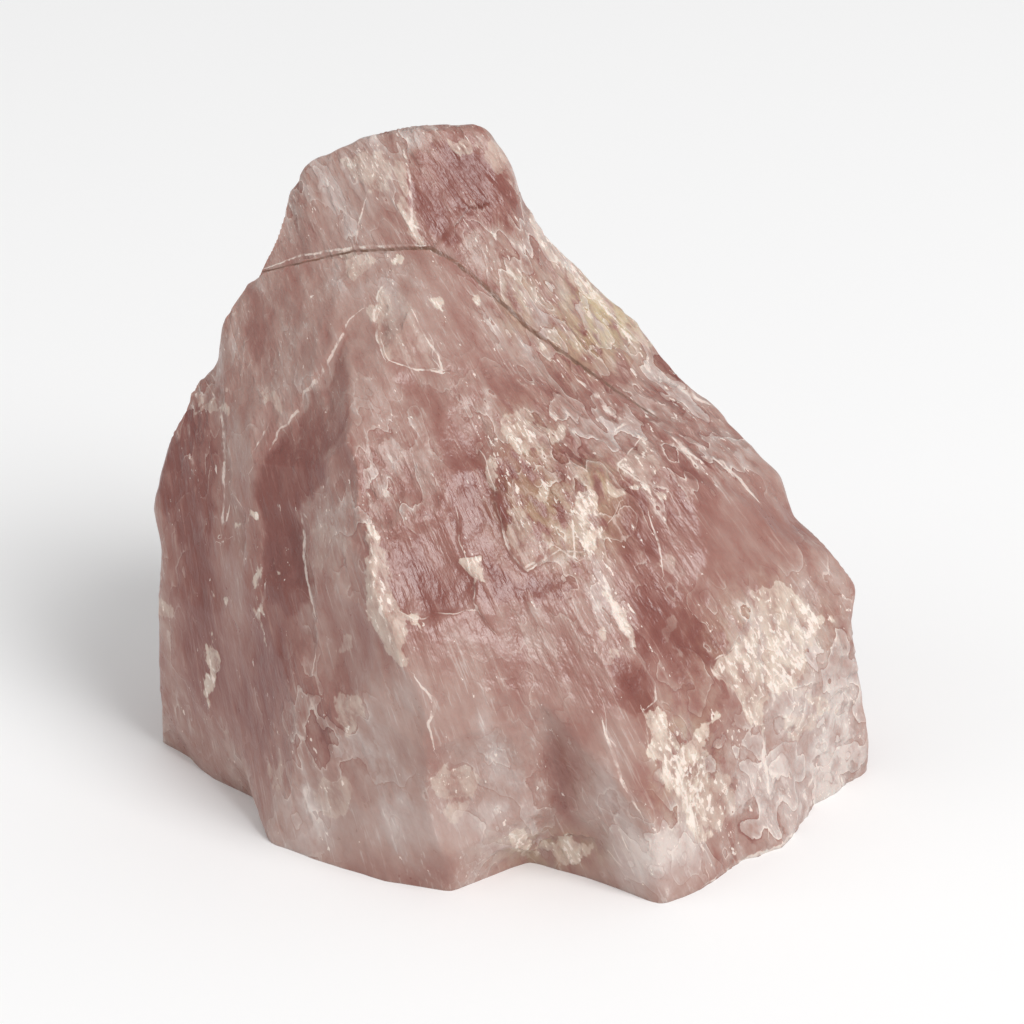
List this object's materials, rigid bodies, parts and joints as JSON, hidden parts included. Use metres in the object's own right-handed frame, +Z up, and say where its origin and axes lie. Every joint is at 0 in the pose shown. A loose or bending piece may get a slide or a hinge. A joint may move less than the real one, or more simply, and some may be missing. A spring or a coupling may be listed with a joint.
{
  "type": "rose quartz chunk",
  "caption": "Rough chunk of rose quartz with broken facets, ledges, shallow pockets and a flat resting face.",
  "frame": {"origin": "middle of the base: the middle of the stone's outer size across and front to back, on the plane of the flat face that it rests on", "axes": "+Z is up. +X is to the right and +Y is away for somebody who looks at the front, which is the side in the picture."},
  "size_m": [0.1312, 0.1027, 0.114],
  "materials": {
    "rose_quartz": "natural broken surface, part glossy and part frosted, cloudy pink with pale veins"
  },
  "bodies": {
    "root": {"rose_quartz_stone": "rose_quartz"}
  },
  "joints": []
}
